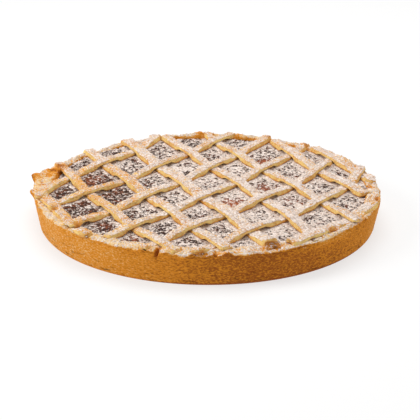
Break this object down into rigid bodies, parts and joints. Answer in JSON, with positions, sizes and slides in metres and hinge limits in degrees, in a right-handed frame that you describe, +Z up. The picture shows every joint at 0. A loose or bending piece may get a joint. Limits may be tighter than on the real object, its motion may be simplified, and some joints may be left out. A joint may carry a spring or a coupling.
{
  "type": "jam lattice tart",
  "caption": "Round open jam tart: a shallow browned pastry case with a pinched rim, filled with dark red jam under a woven lattice of pastry strips dusted with icing sugar.",
  "frame": {"origin": "centre of the flat underside of the pastry case, on the surface it stands on", "axes": "+Z up, -Y the front of the tart as pictured, +X to the right of that view"},
  "size_m": [0.2832, 0.2799, 0.0296],
  "materials": {
    "pastry_case": "baked pastry, browned, dry and finely cracked",
    "pastry_strip": "baked pastry, pale gold, dusted with icing sugar",
    "jam": "dark red jam with fruit skins, sticky and half glossy, dusted with icing sugar",
    "icing_sugar": "fine white powder in small clumps"
  },
  "bodies": {
    "root": {"pastry_case": "pastry_case", "jam_filling": "jam", "strip_a0": "pastry_strip", "strip_a1": "pastry_strip", "strip_a2": "pastry_strip", "strip_a3": "pastry_strip", "strip_a4": "pastry_strip", "strip_a5": "pastry_strip", "strip_a6": "pastry_strip", "strip_a7": "pastry_strip", "strip_b1": "pastry_strip", "strip_b2": "pastry_strip", "strip_b3": "pastry_strip", "strip_b4": "pastry_strip", "strip_b5": "pastry_strip", "strip_b6": "pastry_strip", "strip_b7": "pastry_strip"}
  },
  "joints": []
}
